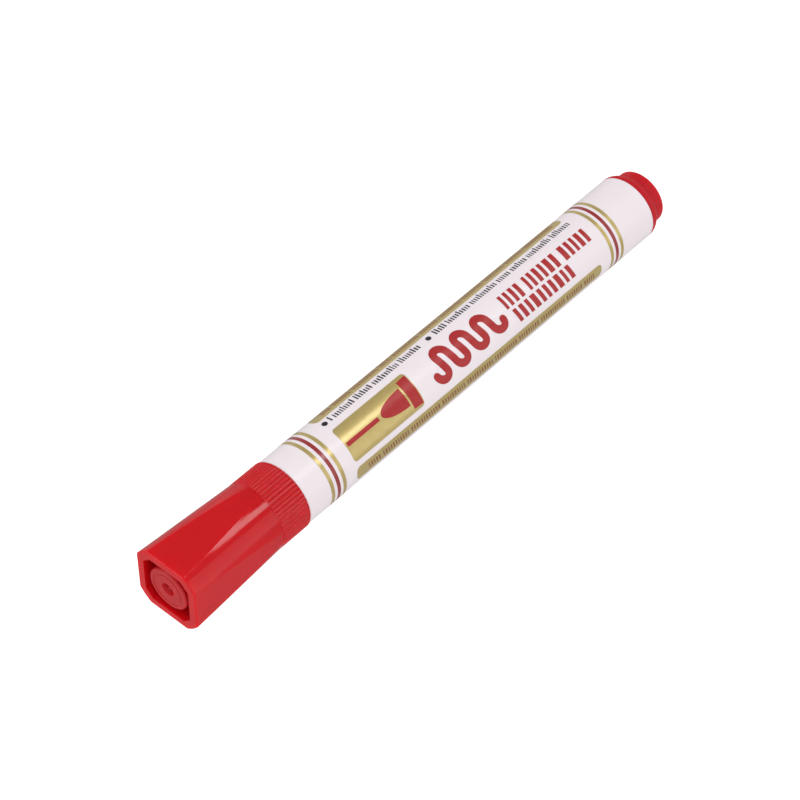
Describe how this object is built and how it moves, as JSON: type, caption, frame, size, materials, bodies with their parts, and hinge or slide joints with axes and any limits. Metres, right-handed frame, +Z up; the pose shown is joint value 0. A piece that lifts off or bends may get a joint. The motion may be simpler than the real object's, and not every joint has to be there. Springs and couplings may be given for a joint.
{
  "type": "whiteboard marker",
  "caption": "Capped whiteboard marker: white round barrel, bullet fibre nib, stepped tail plug and a pull-off cap with a ribbed grip ring and square body.",
  "frame": {"origin": "on the marker's axis, at the centre of the tail plug's flat end face", "axes": "+X along the marker's axis from the tail to the nib and cap; +Z up, square to a flat of the cap, as the marker lies; +Y square to the next flat"},
  "size_m": [0.1385, 0.015, 0.015],
  "materials": {
    "barrel_plastic": "white moulded plastic, soft gloss",
    "plug_plastic": "red moulded plastic, soft gloss",
    "holder_plastic": "white moulded plastic, satin",
    "nib_fibre": "bonded fibre soaked in red ink",
    "reservoir_fibre": "bundled fibre soaked in red ink",
    "film_plastic": "thin clear film",
    "cap_plastic": "red moulded plastic, glossy",
    "inner_cup_plastic": "red moulded plastic, satin"
  },
  "bodies": {
    "barrel_body": {"barrel": "barrel_plastic", "end_plug": "plug_plastic", "nib_holder": "holder_plastic", "nib": "nib_fibre", "ink_reservoir": "reservoir_fibre", "reservoir_film": "film_plastic"},
    "cap": {"cap_shell": "cap_plastic", "cap_inner_cup": "inner_cup_plastic"}
  },
  "joints": [
    {"name": "cap_pull", "type": "slide", "parent": "barrel_body", "child": "cap", "axis": [1, 0, 0], "range_m": [0, 0.04]}
  ]
}
